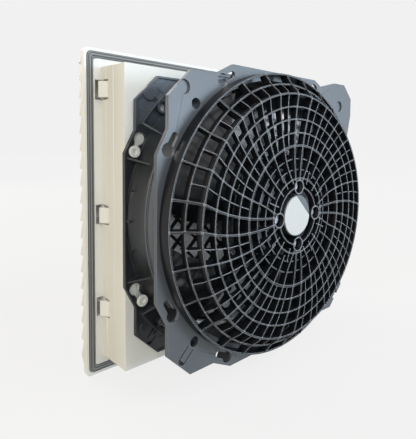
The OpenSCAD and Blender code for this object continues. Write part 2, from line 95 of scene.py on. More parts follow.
def math_of(tree, operation, first, second):
    step = add_node(tree, "ShaderNodeMath", operation=operation, use_clamp=False)
    for socket, value in zip(step.inputs, (first, second)):
        if isinstance(value, (int, float)):
            socket.default_value = value
        else:
            tree.links.new(value, socket)
    return step.outputs[0]


def spark_grain_group():
    """Fine spark-eroded grain of a mould, and slow changes of tone across a moulding."""
    tree, given, result = group_tree("spark grain", [("Grain scale", 1400.0)], ["Height", "Tone"])
    coordinates = object_coordinates(tree)
    fine = noise_of(tree, 1400.0, 2.0, coordinates)
    tree.links.new(given.outputs["Grain scale"], fine.inputs["Scale"])
    slow = noise_of(tree, 11.0, 3.0, coordinates)
    tree.links.new(fine.outputs["Fac"], result.inputs["Height"])
    tree.links.new(slow.outputs["Fac"], result.inputs["Tone"])
    return tree


def edge_wear_sheen_group():
    """Where handling and the mould's parting have polished an edge: 0 on flats, 1 on edges. On the
    finger guard the mask also carries a painted sheen.
    """
    tree, given, result = group_tree("edge wear and sheen", [("Radius", 0.0006), ("Gain", 9.0)], ["Mask"])
    soft = add_node(tree, "ShaderNodeBevel", samples=6)
    tree.links.new(given.outputs["Radius"], soft.inputs["Radius"])
    flat = add_node(tree, "ShaderNodeNewGeometry")
    dot = add_node(tree, "ShaderNodeVectorMath", operation="DOT_PRODUCT")
    tree.links.new(soft.outputs["Normal"], dot.inputs[0])
    tree.links.new(flat.outputs["Normal"], dot.inputs[1])
    bend = math_of(tree, "SUBTRACT", 1.0, dot.outputs["Value"])
    gained = math_of(tree, "MULTIPLY", bend, given.outputs["Gain"])
    capped = math_of(tree, "MINIMUM", gained, 1.0)
    tree.links.new(capped, result.inputs["Mask"])
    return tree


SPARK_GRAIN = spark_grain_group()
EDGE_WEAR_SHEEN = edge_wear_sheen_group()


def mix_colours(tree, factor, first, second):
    mix = add_node(tree, "ShaderNodeMix", data_type="RGBA")
    tree.links.new(factor, mix.inputs["Factor"])
    colour_a, colour_b, mixed = mix.inputs[6], mix.inputs[7], mix.outputs[2]
    for socket, value in zip((colour_a, colour_b), (first, second)):
        if isinstance(value, tuple):
            socket.default_value = (*value, 1.0)
        else:
            tree.links.new(value, socket)
    return mixed


def map_range(tree, value, low, high, from_low=0.0, from_high=1.0):
    spread = add_node(tree, "ShaderNodeMapRange")
    tree.links.new(value, spread.inputs["Value"])
    limits = {"From Min": from_low, "From Max": from_high, "To Min": low, "To Max": high}
    for label, number in limits.items():
        spread.inputs[label].default_value = number
    return spread.outputs["Result"]


def new_material(name):
    material = bpy.data.materials.new(name)
    material.use_nodes = True
    return material, material.node_tree, material.node_tree.nodes["Principled BSDF"]


def add_bump(tree, shader, height, strength, distance):
    bump = add_node(tree, "ShaderNodeBump")
    bump.inputs["Strength"].default_value = strength
    bump.inputs["Distance"].default_value = distance
    tree.links.new(height, bump.inputs["Height"])
    tree.links.new(bump.outputs["Normal"], shader.inputs["Normal"])


def moulded_plastic(name, colour, shade, edge, roughness, gloss=0.5, grain=0.05, radius=0.0006):
    """colour and shade are its lighter and darker tones; edge is its colour where polished, which
    on the finger guard is partly painted sheen.
    """
    material, tree, shader = new_material(name)
    surface = add_node(tree, "ShaderNodeGroup", node_tree=SPARK_GRAIN)
    edge_wear_sheen = add_node(tree, "ShaderNodeGroup", node_tree=EDGE_WEAR_SHEEN)
    edge_wear_sheen.inputs["Radius"].default_value = radius
    tone = map_range(tree, surface.outputs["Tone"], 0.0, 1.0, 0.3, 0.7)
    body = mix_colours(tree, tone, shade, colour)
    tree.links.new(mix_colours(tree, edge_wear_sheen.outputs["Mask"], body, edge), shader.inputs["Base Color"])
    tree.links.new(
        map_range(tree, surface.outputs["Tone"], roughness - 0.05, roughness + 0.05, 0.3, 0.7),
        shader.inputs["Roughness"])
    shader.inputs["Specular IOR Level"].default_value = gloss
    add_bump(tree, shader, surface.outputs["Height"], grain, 0.4 * MM)
    return material


def place(mesh, name, body, slot, material, *nodes):
    """Makes the mesh a piece of the object that stands for the given nodes."""
    piece = bpy.data.objects.new(name, mesh)
    bpy.context.scene.collection.objects.link(piece)
    mesh.materials.clear()
    mesh.materials.append(material)
    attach(piece, body)
    if nodes:
        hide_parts(*nodes)
    return piece


def softened(node, name, body, slot, material, radius):
    """The node's own solid with its sharp edges rounded to the given radius."""
    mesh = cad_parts[node].data.copy()
    solid = bmesh.new()
    solid.from_mesh(mesh)
    bmesh.ops.remove_doubles(solid, verts=solid.verts, dist=0.07 * MM)
    bmesh.ops.dissolve_limit(
        solid, angle_limit=math.radians(0.5), use_dissolve_boundaries=False,
        verts=solid.verts, edges=solid.edges, delimit=set())
    bmesh.ops.triangulate(solid, faces=[f for f in solid.faces if len(f.verts) > 4])
    solid.to_mesh(mesh)
    solid.free()
    mesh.shade_smooth()
    piece = place(mesh, name, body, slot, material, node)
    rounding = piece.modifiers.new("rounding", "BEVEL")
    rounding.width = radius
    rounding.segments = 2
    rounding.limit_method = "ANGLE"
    rounding.angle_limit = math.radians(30)
    rounding.use_clamp_overlap = False
    flats = piece.modifiers.new("flat faces", "WEIGHTED_NORMAL")
    flats.mode = "FACE_AREA"
    flats.weight = 100
    return piece


cream = moulded_plastic(
    "cream moulding", (0.77, 0.74, 0.68), (0.735, 0.705, 0.64), (0.85, 0.835, 0.79),
    roughness=0.42, gloss=0.25, grain=0.06)
softened("base_frame", "mounting_frame", "frame", "cream_plastic", cream, 0.35 * MM)
softened("bayonet_pins", "bayonet_studs", "frame", "cream_plastic", cream, 0.5 * MM)


# Panel seal
# Polyurethane foamed in place in the flange's groove. It has a dark closed skin with fine
# pits, and its middle stands up as a softer bead.

def facing_cabinet(tree):
    """1 where a face looks straight into the cabinet, -1 where it looks straight away."""
    parts = add_node(tree, "ShaderNodeSeparateXYZ")
    tree.links.new(add_node(tree, "ShaderNodeNewGeometry").outputs["Normal"], parts.inputs[0])
    return parts.outputs["Y"]


def foam_skin(name, colour, shade, side):
    """Faces that look into the cabinet have the two lighter tones; the flanks have the side colour,
    which is painted shade.
    """
    material, tree, shader = new_material(name)
    coordinates = object_coordinates(tree)
    pits = add_node(tree, "ShaderNodeTexVoronoi")
    pits.inputs["Scale"].default_value = 900.0
    tree.links.new(coordinates, pits.inputs["Vector"])
    slow = noise_of(tree, 60.0, 3.0, coordinates)
    crown = map_range(tree, facing_cabinet(tree), 0.0, 1.0, 0.75, 1.0)
    skin = mix_colours(tree, slow.outputs["Fac"], shade, colour)
    tree.links.new(mix_colours(tree, crown, side, skin), shader.inputs["Base Color"])
    tree.links.new(map_range(tree, slow.outputs["Fac"], 0.45, 0.65), shader.inputs["Roughness"])
    add_bump(tree, shader, pits.outputs["Distance"], 0.25, 0.4 * MM)
    return material


# The third, near black colour is painted shade on the flanks of the bead.
foam = foam_skin("foamed seal", (0.24, 0.24, 0.23), (0.17, 0.17, 0.163), (0.03, 0.03, 0.029))
softened("panel_gasket", "panel_seal", "frame", "seal_foam", foam, 0.7 * MM)


# Filter mat and its grid
# The mat is a square of white fibre fleece. The grid behind it is a lattice of thin bars at
# 45 degrees that keeps the mat out of the fan; its cream is painted near black as painted shade.

def dress(material, *nodes):
    """Gives nodes whose own shape is right their finish."""
    for node in nodes:
        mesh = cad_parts[node].data
        mesh.materials.clear()
        mesh.materials.append(material)


def fleece_material():
    """White fibres, with a faint painted glow for the daylight that comes through the mat."""
    material, tree, shader = new_material("white fleece")
    coordinates = object_coordinates(tree)
    fibres = noise_of(tree, 420.0, 6.0, coordinates)
    fibres.inputs["Distortion"].default_value = 2.5
    tree.links.new(
        mix_colours(tree, fibres.outputs["Fac"], (0.62, 0.63, 0.62), (0.93, 0.94, 0.94)),
        shader.inputs["Base Color"])
    shader.inputs["Roughness"].default_value = 0.95
    shader.inputs["Sheen Weight"].default_value = 0.3
    # Painted glow: the fleece is no lamp, the emission stands in for daylight through the mat.
    shader.inputs["Emission Color"].default_value = (0.92, 0.95, 1.0, 1)
    shader.inputs["Emission Strength"].default_value = 0.05
    add_bump(tree, shader, fibres.outputs["Fac"], 0.7, 1.5 * MM)
    return material


dress(fleece_material(), "filter_mat")
# The grid's cream moulding is painted near black: painted shade, as its bars stand in shadow before
# the mat.
shade_painted_grid = moulded_plastic(
    "shade painted grid", (0.022, 0.021, 0.020), (0.014, 0.0135, 0.013), (0.06, 0.058, 0.052),
    roughness=0.7, gloss=0.2, grain=0.15)
softened("filter_grid", "lattice_grid", "frame", "cream_plastic", shade_painted_grid, 0.3 * MM)


# Louvre cover
# The rain cover is the same cream ABS. It hinges at the bottom on two steel pins, and its
# sloping blades end in a saw-tooth edge at both cheeks.

softened("louvre_cover", "rain_cover", "cover", "cream_plastic", cream, 0.35 * MM)


def metal(name, colour, shade, roughness, scratch_scale, stretch):
    """Bare or plated metal with fine scratches drawn out along one axis."""
    material, tree, shader = new_material(name)
    along = add_node(tree, "ShaderNodeMapping")
    along.inputs["Scale"].default_value = stretch
    tree.links.new(object_coordinates(tree), along.inputs["Vector"])
    scratches = noise_of(tree, scratch_scale, 4.0, along.outputs["Vector"])
    tone = mix_colours(tree, scratches.outputs["Fac"], shade, colour)
    tree.links.new(tone, shader.inputs["Base Color"])
    tree.links.new(
        map_range(tree, scratches.outputs["Fac"], roughness - 0.08, roughness + 0.08, 0.3, 0.7),
        shader.inputs["Roughness"])
    shader.inputs["Metallic"].default_value = 1.0
    add_bump(tree, shader, scratches.outputs["Fac"], 0.08, 0.2 * MM)
    return material


zinc = metal("zinc plate", (0.72, 0.73, 0.75), (0.5, 0.51, 0.53), 0.3, 300.0, (1.0, 1.0, 1.0))
dress(zinc, "hinge_pins")


# Fan housing
# Two equal halves in black glass-filled polyamide, set back to back. Each has half of the
# duct and one flange with keyholes, bolt holes, gussets and a raised border. Under the rear
# flange a wall stands beside each keyhole, and a sleeve lines each bolt hole.

black = moulded_plastic(
    "black polyamide", (0.020, 0.022, 0.026), (0.012, 0.013, 0.015), (0.09, 0.095, 0.105),
    roughness=0.34, gloss=0.4, grain=0.05, radius=0.0005)
# The rear half is the same black moulding, given a lighter bluish grey as painted sheen.
sheen_grey_polyamide = moulded_plastic(
    "sheen painted polyamide", (0.074, 0.081, 0.090), (0.058, 0.063, 0.070), (0.20, 0.21, 0.225),
    roughness=0.40, gloss=0.55, grain=0.06, radius=0.0007)
BORE_R = 136.4 * MM


def darken_bore(material, colour):
    """Inside the duct the surface is painted a black darker than the moulding's own, as painted
    shade, in place of the painted sheen and light.
    """
    tree = material.node_tree
    base = tree.nodes["Principled BSDF"].inputs["Base Color"]
    across = add_node(tree, "ShaderNodeVectorMath", operation="MULTIPLY")
    across.inputs[1].default_value = (1, 0, 1)
    tree.links.new(object_coordinates(tree), across.inputs[0])
    radius = add_node(tree, "ShaderNodeVectorMath", operation="LENGTH")
    tree.links.new(across.outputs["Vector"], radius.inputs[0])
    outside = map_range(
        tree, radius.outputs["Value"], 0.0, 1.0, BORE_R + 0.4 * MM, BORE_R + 1.6 * MM)
    tree.links.new(mix_colours(tree, outside, colour, base.links[0].from_socket), base)


def paint_light_upwards(material, colour):
    """Above 60 mm the black is painted lighter towards the given grey, fully by 130 mm: painted
    light from above on the upper lobes.
    """
    tree = material.node_tree
    base = tree.nodes["Principled BSDF"].inputs["Base Color"]
    height = add_node(tree, "ShaderNodeSeparateXYZ")
    tree.links.new(object_coordinates(tree), height.inputs[0])
    upper_share = map_range(tree, height.outputs["Z"], 0.0, 1.0, 60 * MM, 130 * MM)
    tree.links.new(mix_colours(tree, upper_share, base.links[0].from_socket, colour), base)


# A grey painted on as light from above on the upper lobes of the front half.
PAINTED_TOP_LIGHT = (0.085, 0.098, 0.115)
# A near black painted on as shade inside the duct.
BORE_SHADE = (0.010, 0.010, 0.011)
paint_light_upwards(black, PAINTED_TOP_LIGHT)
darken_bore(sheen_grey_polyamide, BORE_SHADE)
darken_bore(black, BORE_SHADE)
softened("front_housing", "front_duct_half", "fan_unit", "black_plastic", black, 0.3 * MM)
softened("rear_housing", "rear_duct_half", "fan_unit", "black_plastic", sheen_grey_polyamide, 0.3 * MM)


def add_to(target, part):
    """Adds one bmesh to another and frees it."""
    mesh = bpy.data.meshes.new("part")
    part.to_mesh(mesh)
    part.free()
    target.from_mesh(mesh)
    bpy.data.meshes.remove(mesh)


def add_block(target, size, r, y, angle, rounding):
    """A block of the given size in millimetres at radius r and height y, turned about Y."""
    block = bmesh.new()
    bmesh.ops.create_cube(block, size=MM)
    bmesh.ops.scale(block, verts=block.verts, vec=size)
    rims = [e for e in block.edges if all(v.co.y < 0 for v in e.verts)]
    bmesh.ops.bevel(block, geom=rims, offset=rounding, offset_type="OFFSET", segments=2,
                    profile=0.5, affect="EDGES", material=-1)
    turn = Matrix.Rotation(-math.radians(angle), 4, "Y")
    bmesh.ops.transform(block, matrix=turn @ Matrix.Translation((r, y, 0)), verts=block.verts)
    add_to(target, block)


def turned(points, axis, steps, closed=False):
    """A form spun a full turn about an axis from a line of points."""
    form = bmesh.new()
    corners = [form.verts.new(point) for point in points]
    nexts = (*corners[1:], corners[0]) if closed else corners[1:]
    edges = [form.edges.new(ends) for ends in zip(corners, nexts)]
    bmesh.ops.spin(
        form, geom=[*edges, *corners], cent=(0, 0, 0), axis=axis, angle=2 * math.pi, steps=steps,
        use_merge=True, use_normal_flip=False, use_duplicate=False)
    bmesh.ops.remove_doubles(form, verts=form.verts, dist=0.0001)
    bmesh.ops.recalc_face_normals(form, faces=form.faces)
    return form


def add_sleeve(target, angle):
    """A sleeve under the flange that lines one bolt hole, open at both ends."""
    section = ((4.8, 0.2), (7.4, 0.2), (7.0, -12), (4.8, -12))
    sleeve = turned([(r * MM, y * MM, 0) for r, y in section], (0, 1, 0), 32, closed=True)
    turn = Matrix.Rotation(-math.radians(angle), 4, "Y")
    place_at = Matrix.Translation((BOLT_CIRCLE_R, FLANGE_BACK, 0))
    bmesh.ops.transform(sleeve, matrix=turn @ place_at, verts=sleeve.verts)
    add_to(target, sleeve)


BOLT_CIRCLE_R = 150 * MM
BOLT_ANGLES = (45, 225, 315)
LATCH_R = 168.5 * MM
LATCH_ANGLE = 315
FLANGE_T = 3.3 * MM
FLANGE_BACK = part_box("rear_housing")[1].y - FLANGE_T
FRONT_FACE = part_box("front_housing")[0].y
WALL_SIZE = (18.4, 18, 1.8)
WALL_R = BORE_R + 12.4 * MM
WALL_Y = FLANGE_BACK - 9 * MM
WALL_ANGLES = (56.2, 112.6, 146.2, 202.6, 236.2, 292.6, 326.2)
LATCH_FLOOR = (9.4, 1.0, 10.0)
LATCH_FLOOR_Y = (FLANGE_BACK + 0.6 * MM, FRONT_FACE + 0.8 * MM)

walls = bmesh.new()
for angle in WALL_ANGLES:
    add_block(walls, WALL_SIZE, WALL_R, WALL_Y, angle, 0.4 * MM)
for angle in BOLT_ANGLES:
    add_sleeve(walls, angle)
for y in LATCH_FLOOR_Y:
    add_block(walls, LATCH_FLOOR, LATCH_R, y, LATCH_ANGLE, 0.1 * MM)
wall_mesh = bpy.data.meshes.new("keyhole_walls")
walls.to_mesh(wall_mesh)
walls.free()
wall_mesh.shade_smooth()
wall_mesh.set_sharp_from_angle(angle=math.radians(35))
place(wall_mesh, "keyhole_walls", "fan_unit", "black_plastic", black)
softened("terminal_block", "lead_terminals", "fan_unit", "black_plastic", black, 0.4 * MM)
dress(zinc, "terminal_screws")


# Finger guard
# A domed basket moulded in the same polyamide. Deep narrow ribs start straight at the base
# ring, swirl inwards over the shoulder and cross a set of rings; double ribs reach the bosses.

guard_low, guard_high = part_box("finger_guard")
FLANGE_FACE = guard_low.y / MM
CROWN = guard_high.y / MM
BASE_RING_R = guard_high.x / MM
RIB_W = 2.0
RIB_DEPTH = 6.5
RIB_DRAFT = 0.26
SHOULDER_R = 121.8
MIDDLE_RING_R = 131.5
THICK_RING_R = 70.6
SMALL_RING_R = 46.6
FACE_RINGS = (  # radius, width and how far its top lies below the crown
    (37.9, 1.9, 0.0), (SMALL_RING_R, 1.6, 2.6), (57.5, 1.6, 2.6), (THICK_RING_R, 3.2, 0.0),
    (83.3, 1.9, 0.0), (96.7, 1.9, 0.0), (109, 1.9, 0.0))
CUP_ANGLES = (-3, 91, 180, 269)
HALF_CUP_GAP = 13.6
HUB_RING_R = 28.8
PAIR_START_R = 36.2
INNER_ENDS = ((35, -7), (42, 0), (32, 0), (42, 0), (34, 6))  # radius, pull towards a cup
SPUR_START_R = 33.5
SPUR_ANGLES = (29, 66)
PAIR_SPACING = 10.7
RIB_PITCH = 79.3 / 6
SWIRL = 8.0
SWIRL_END_R = 40
PULL_START_R = 58
BOSS_CIRCLE_R = 29.1
BOSS_R = 7.5
CUP_FLOOR = CROWN - 8.0


def height_at(table, r):
    """Height at radius r along a profile of (radius, height) points."""
    for (r0, z0), (r1, z1) in zip(table, table[1:]):
        if r <= r1:
            return z0 + (z1 - z0) * max(0.0, (r - r0) / (r1 - r0))
    return table[-1][1]


OUTSIDE = (
    (20, CROWN), (THICK_RING_R, CROWN), (96.7, CROWN - 0.5), (SHOULDER_R, CROWN - 2.4),
    (SHOULDER_R + 2.4, CROWN - 3.2), (MIDDLE_RING_R + 1, FLANGE_FACE + 19.8),
    (BASE_RING_R, FLANGE_FACE + 12.9))
INSIDE = (
    (20, CROWN - RIB_DEPTH), (THICK_RING_R, CROWN - RIB_DEPTH), (96.7, CROWN - 0.5 - RIB_DEPTH),
    (SHOULDER_R - 4, CROWN - 2.5 - RIB_DEPTH), (127, FLANGE_FACE + 14), (137, FLANGE_FACE + 7),
    (BASE_RING_R, FLANGE_FACE + 6))


def swirl(r):
    """Degrees by which a rib has turned at radius r: none at the shoulder, all at the hub."""
    if r >= SHOULDER_R:
        return 0.0
    way_out = max(r - SWIRL_END_R, 0) / (SHOULDER_R - SWIRL_END_R)
    return -SWIRL * (1 - way_out ** 1.6)


def rounded_bar(length, width, depth, cuts):
    """A bar along X from 0 to length, its top at 0, with rounded top edges."""
    bar = bmesh.new()
    bmesh.ops.create_cube(bar, size=1.0)
    bmesh.ops.translate(bar, verts=bar.verts, vec=(0.5, 0, -0.5))
    bmesh.ops.scale(bar, verts=bar.verts, vec=(length, width, depth))
    top = [e for e in bar.edges if all(v.co.z > -0.01 for v in e.verts)
           and abs(e.verts[0].co.x - e.verts[1].co.x) > 0.5 * length]
    bmesh.ops.bevel(bar, geom=top, offset=0.17 * width, offset_type="OFFSET", segments=2,
                    profile=0.5, affect="EDGES", material=-1)
    long_edges = [e for e in bar.edges if abs(e.verts[0].co.x - e.verts[1].co.x) > 0.5 * length]
    bmesh.ops.subdivide_edges(bar, edges=long_edges, cuts=cuts, use_grid_fill=True)
    return bar


def add_rib(target, angle, r0, r1, width, sunk=0.0, pull=0.0):
    """A rib from r0 to r1. pull bends its inner end, in degrees, towards a cup."""
    bar = rounded_bar(r1 - r0, width, RIB_DEPTH, max(3, int((r1 - r0) / 3.5)))
    for v in bar.verts:
        r = r0 + v.co.x
        way_in = max(0.0, (PULL_START_R - r) / (PULL_START_R - r0)) if pull else 0.0
        bend = pull * way_in ** 1.7
        turn = math.radians(angle + swirl(r) + bend)
        drop = -v.co.z / RIB_DEPTH
        top = height_at(OUTSIDE, r) - sunk
        bottom = height_at(INSIDE, r)
        aside = v.co.y * (1 - RIB_DRAFT * (1 - drop))
        v.co = (
            r * math.cos(turn) - aside * math.sin(turn),
            r * math.sin(turn) + aside * math.cos(turn),
            top + (bottom - top) * drop)
    add_to(target, bar)


def add_ring(target, r, width, top, bottom, start=0.0, sweep=360.0):
    """A ring, or an arc of one, with rounded top edges and drafted sides, spun about Z."""
    ring = bmesh.new()
    round_off = min(0.17 * width, 0.5)
    half = width / 2 * (1 - RIB_DRAFT)
    section = [
        (r - width / 2, bottom), (r + width / 2, bottom), (r + half, top - round_off),
        (r + half - 0.4 * round_off, top - 0.25 * round_off), (r + half - round_off, top),
        (r - half + round_off, top), (r - half + 0.4 * round_off, top - 0.25 * round_off),
        (r - half, top - round_off)]
    face = ring.faces.new([ring.verts.new((x, 0, z)) for x, z in section])
    bmesh.ops.rotate(
        ring, verts=ring.verts, cent=(0, 0, 0), matrix=Matrix.Rotation(math.radians(start), 3, "Z"))
    whole = sweep == 360.0
    bmesh.ops.spin(
        ring, geom=[face, *face.edges, *face.verts], cent=(0, 0, 0), axis=(0, 0, 1),
        angle=math.radians(sweep), steps=max(12, int(0.4 * sweep)), use_merge=whole,
        use_normal_flip=False, use_duplicate=False)
    if whole:
        bmesh.ops.remove_doubles(ring, verts=ring.verts, dist=0.0001)
        inner = [f for f in ring.faces if len(f.verts) > 4]
        bmesh.ops.delete(ring, geom=inner, context="FACES_ONLY")
    bmesh.ops.recalc_face_normals(ring, faces=ring.faces)
    add_to(target, ring)


def to_object_frame(part, name):
    """Turns a shape drawn with its depth along Z, in millimetres, into a mesh of the object."""
    swap = Matrix(((MM, 0, 0, 0), (0, 0, MM, 0), (0, MM, 0, 0), (0, 0, 0, 1)))
    bmesh.ops.transform(part, matrix=swap, verts=part.verts)
    bmesh.ops.reverse_faces(part, faces=part.faces)
    mesh = bpy.data.meshes.new(name)
    part.to_mesh(mesh)
    part.free()
    mesh.shade_smooth()
    mesh.set_sharp_from_angle(angle=math.radians(35))
    return mesh


def finger_guard_mesh():
    guard = bmesh.new()
    for quarter in range(4):
        turn = 90 * quarter
        for i in (0, 1):
            angle = turn + PAIR_SPACING * i
            add_rib(guard, angle, PAIR_START_R, BASE_RING_R - 1, RIB_W + 0.8)
        for i, (inner_end, pull) in enumerate(INNER_ENDS, 1):
            angle = turn + PAIR_SPACING + i * RIB_PITCH
            width = RIB_W + (0.6 if i == 3 else -0.1)
            add_rib(guard, angle, THICK_RING_R, BASE_RING_R - 0.6, width)
            add_rib(guard, angle, inner_end, THICK_RING_R, RIB_W - 0.3, pull=pull)
        for i in range(6):
            angle = turn + PAIR_SPACING + (i + 0.5) * RIB_PITCH
            add_rib(guard, angle, THICK_RING_R, MIDDLE_RING_R, RIB_W - 0.9, sunk=1.3)
        for angle in SPUR_ANGLES:
            add_rib(guard, turn + angle, SPUR_START_R, SMALL_RING_R, RIB_W - 0.5)
    for r, width, sunk in FACE_RINGS:
        top = height_at(OUTSIDE, r) - sunk
        add_ring(guard, r, width, top, top - RIB_DEPTH)
    for first, last in zip(CUP_ANGLES, (*CUP_ANGLES[1:], CUP_ANGLES[0] + 360)):
        sweep = last - first - 2 * HALF_CUP_GAP
        add_ring(guard, HUB_RING_R, 1.9, CROWN, CROWN - RIB_DEPTH, first + HALF_CUP_GAP, sweep)
    add_ring(guard, SHOULDER_R, RIB_W + 0.4, CROWN - 2.3, CROWN - 2.5 - RIB_DEPTH)
    add_ring(guard, MIDDLE_RING_R, RIB_W, FLANGE_FACE + 19.4, FLANGE_FACE + 14)
    add_ring(guard, BASE_RING_R - 1.2, 2.4, FLANGE_FACE + 12.7, FLANGE_FACE)
    return guard


def add_boss_cups(guard):
    """Cups for the motor screws, with a floor that the screw heads pull down on."""
    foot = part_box("motor_screws")[1].y / MM - 16
    section = (
        (2.2, foot), (BOSS_R, foot), (BOSS_R, CROWN - 0.4), (BOSS_R - 0.3, CROWN),
        (BOSS_R - 1.0, CROWN), (BOSS_R - 1.3, CROWN - 0.4), (BOSS_R - 1.3, CUP_FLOOR),
        (2.2, CUP_FLOOR))
    for angle in CUP_ANGLES:
        cup = turned([(x, 0, z) for x, z in section], (0, 0, 1), 40, closed=True)
        turn = Matrix.Rotation(math.radians(angle), 4, "Z")
        out = Matrix.Translation((BOSS_CIRCLE_R, 0, 0))
        bmesh.ops.transform(cup, matrix=turn @ out, verts=cup.verts)
        add_to(guard, cup)


guard_form = finger_guard_mesh()
add_boss_cups(guard_form)
# The light edge colour on the outward rib tops is partly wear and partly painted sheen.
guard_black = moulded_plastic(
    "guard polyamide", (0.008, 0.0085, 0.011), (0.005, 0.0055, 0.007), (0.55, 0.555, 0.57),
    roughness=0.36, gloss=0.28, grain=0.04, radius=0.0008)


def wear_and_sheen_outside(material):
    """The light edge colour goes on rib faces that look out, partly as wear from hands and cloths
    and partly as painted sheen; the deep sides keep the black.
    """
    tree = material.node_tree
    edge_wear_sheen = next(n for n in tree.nodes if n.type == "GROUP" and n.node_tree == EDGE_WEAR_SHEEN)
    mask = edge_wear_sheen.outputs["Mask"]
    factor = mask.links[0].to_socket
    outwards = map_range(tree, facing_cabinet(tree), 0.0, 1.0, 0.15, 0.6)
    tree.links.new(math_of(tree, "MULTIPLY", mask, outwards), factor)


wear_and_sheen_outside(guard_black)
place(to_object_frame(guard_form, "finger_basket"), "finger_basket", "fan_unit", "guard_plastic",
      guard_black, "finger_guard")


# Motor
# An external-rotor motor: a die-cast disc and bearing tube carry the wound stator, and the
# four screws in the guard's cups hold the disc. Its end face has a bare white film.

alloy = metal(
    "die casting", (0.15, 0.153, 0.157), (0.10, 0.102, 0.105), 0.55, 500.0, (1.0, 1.0, 1.0))
softened("motor_flange", "motor_end_disc", "fan_unit", "motor_alloy", alloy, 0.4 * MM)


def cut_cross(screw, top):
    """Sinks a cross into a screw's head, whose crown is at height top."""
    for across in ((1, 0, 0), (0, 1, 0)):
        for reach in (SLOT_HALF, -SLOT_HALF, SLOT_REACH, -SLOT_REACH):
            bmesh.ops.bisect_plane(
                screw, geom=[*screw.verts, *screw.edges, *screw.faces],
                plane_co=[reach * c for c in across], plane_no=across)
    cross = []
    for face in screw.faces:
        middle = face.calc_center_median()
        near, far = sorted((abs(middle.x), abs(middle.y)))
        if middle.z > top - 0.35 and near < SLOT_HALF and far < SLOT_REACH:
            cross.append(face)
    sunk = bmesh.ops.extrude_face_region(screw, geom=cross)
    bmesh.ops.delete(screw, geom=cross, context="FACES")
    bmesh.ops.translate(
        screw, verts=[v for v in sunk["geom"] if isinstance(v, bmesh.types.BMVert)],
        vec=(0, 0, -SLOT_DEPTH))
    bmesh.ops.recalc_face_normals(screw, faces=screw.faces)


def screw_mesh():
    """A pan head with a cross recess on its threaded shank, in each of the four cups."""
    top = CUP_FLOOR + 2.7
    section = (
        (0, top - 18), (1.6, top - 18), (2.0, top - 17.4), (2.0, CUP_FLOOR), (5.0, CUP_FLOOR),
        (5.2, CUP_FLOOR + 0.3), (5.1, CUP_FLOOR + 1.4), (4.5, CUP_FLOOR + 2.2),
        (3.4, top - 0.1), (0, top))
    screws = bmesh.new()
    for i, angle in enumerate(CUP_ANGLES):
        screw = turned([(x, 0, z) for x, z in section], (0, 0, 1), 32)
        cut_cross(screw, top)
        turn = Matrix.Rotation(math.radians(angle), 4, "Z")
        out = Matrix.Translation((BOSS_CIRCLE_R, 0, 0))
        twist = Matrix.Rotation(math.radians(25 + 40 * i), 4, "Z")
        bmesh.ops.transform(screw, matrix=turn @ out @ twist, verts=screw.verts)
        add_to(screws, screw)
    return screws


SLOT_HALF = 0.55
SLOT_REACH = 2.5
SLOT_DEPTH = 1.5
screw_plate = metal(
    "screw plate", (0.86, 0.84, 0.90), (0.62, 0.61, 0.66), 0.5, 400.0, (1.0, 1.0, 1.0))
place(to_object_frame(screw_mesh(), "guard_screws"), "guard_screws", "fan_unit", "bright_steel",
      screw_plate, "motor_screws")
film = moulded_plastic(
    "white film", (0.53, 0.51, 0.48), (0.50, 0.48, 0.45), (0.57, 0.55, 0.52),
    roughness=0.5, gloss=0.15, grain=0.01, radius=0.0002)
dress(film, "blank_label")


def banded(name, light, dark, spacing, metallic, roughness):
    """Layers stacked along the motor's axis, such as stamped sheets or turns of wire."""
    material, tree, shader = new_material(name)
    bands = add_node(tree, "ShaderNodeTexWave", bands_direction="Y")
    bands.inputs["Scale"].default_value = 0.314 / spacing
    bands.inputs["Distortion"].default_value = 0.4
    tree.links.new(object_coordinates(tree), bands.inputs["Vector"])
    tone = mix_colours(tree, bands.outputs["Fac"], dark, light)
    tree.links.new(tone, shader.inputs["Base Color"])
    shader.inputs["Metallic"].default_value = metallic
    shader.inputs["Roughness"].default_value = roughness
    add_bump(tree, shader, bands.outputs["Fac"], 0.5, 0.2 * MM)
    return material


sheets = banded("stamped sheets", (0.42, 0.43, 0.45), (0.2, 0.2, 0.21), 0.5 * MM, 1.0, 0.45)
dress(sheets, "stator_core")
wire = banded("enamelled wire", (0.62, 0.27, 0.13), (0.3, 0.11, 0.05), 0.8 * MM, 0.6, 0.35)
dress(wire, "stator_windings")
board_green = moulded_plastic(
    "solder mask", (0.03, 0.2, 0.1), (0.02, 0.15, 0.08), (0.2, 0.3, 0.22),
    roughness=0.3, radius=0.0003)
dress(board_green, "winding_board")
steel = metal("ground steel", (0.66, 0.66, 0.67), (0.5, 0.5, 0.51), 0.22, 700.0, (1.0, 0.1, 1.0))
dress(steel, "front_bearing", "rear_bearing", "preload_washer")


# Rotor and impeller
# The impeller is one black moulding with a cone hub and five twisted blades, pressed over
# the rotor can. Magnets line the can, and the shaft runs in the two ball bearings.

TIP_R = 132.6
BLADES = 5
BLADE_START = -15.0
BLADE_SWEEP = 28.0
BLADE_WRAP = 52.0
BLADE_T = 2.6
BLADE_CAMBER = 5.0
HUB_FRONT_R = 54.0
HUB_REAR_R = 66.0


